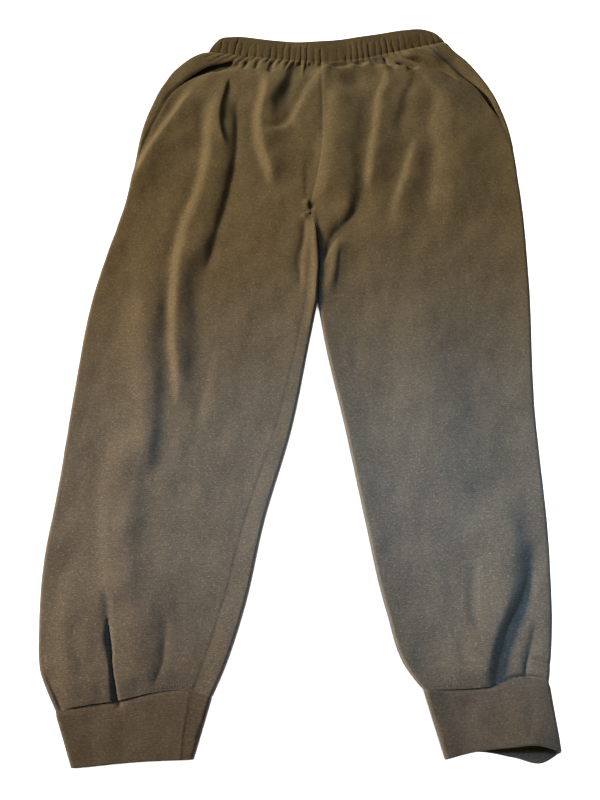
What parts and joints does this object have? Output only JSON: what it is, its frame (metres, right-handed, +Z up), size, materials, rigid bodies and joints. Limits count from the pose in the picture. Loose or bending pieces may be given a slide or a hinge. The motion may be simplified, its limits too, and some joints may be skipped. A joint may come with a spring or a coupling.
{
  "type": "sweatpants",
  "caption": "Loose jogger sweatpants in marl fleece laid flat, with a gathered elastic waistband, slanted side pockets and banded ankle cuffs.",
  "frame": {"origin": "Centre of the bounding box's underside, on the surface the garment lies on.", "axes": "+Z up, away from the surface; +Y from the ankle cuffs to the waistband; +X to the right as seen from above, which is the wearer's left leg. The front of the garment faces up."},
  "size_m": [0.5702, 0.9944, 0.0216],
  "materials": {
    "fleece": "matte brushed marl fleece",
    "band_fleece": "matte marl fleece, gathered on elastic",
    "cuff_knit": "matte fine rib knit",
    "pocket_bag": "matte plain jersey"
  },
  "bodies": {
    "root": {"front_left": "fleece", "front_right": "fleece", "back_left": "fleece", "back_right": "fleece", "waistband": "band_fleece", "cuff_left": "cuff_knit", "cuff_right": "cuff_knit", "pocket_bag_left": "pocket_bag", "pocket_bag_right": "pocket_bag"}
  },
  "joints": []
}
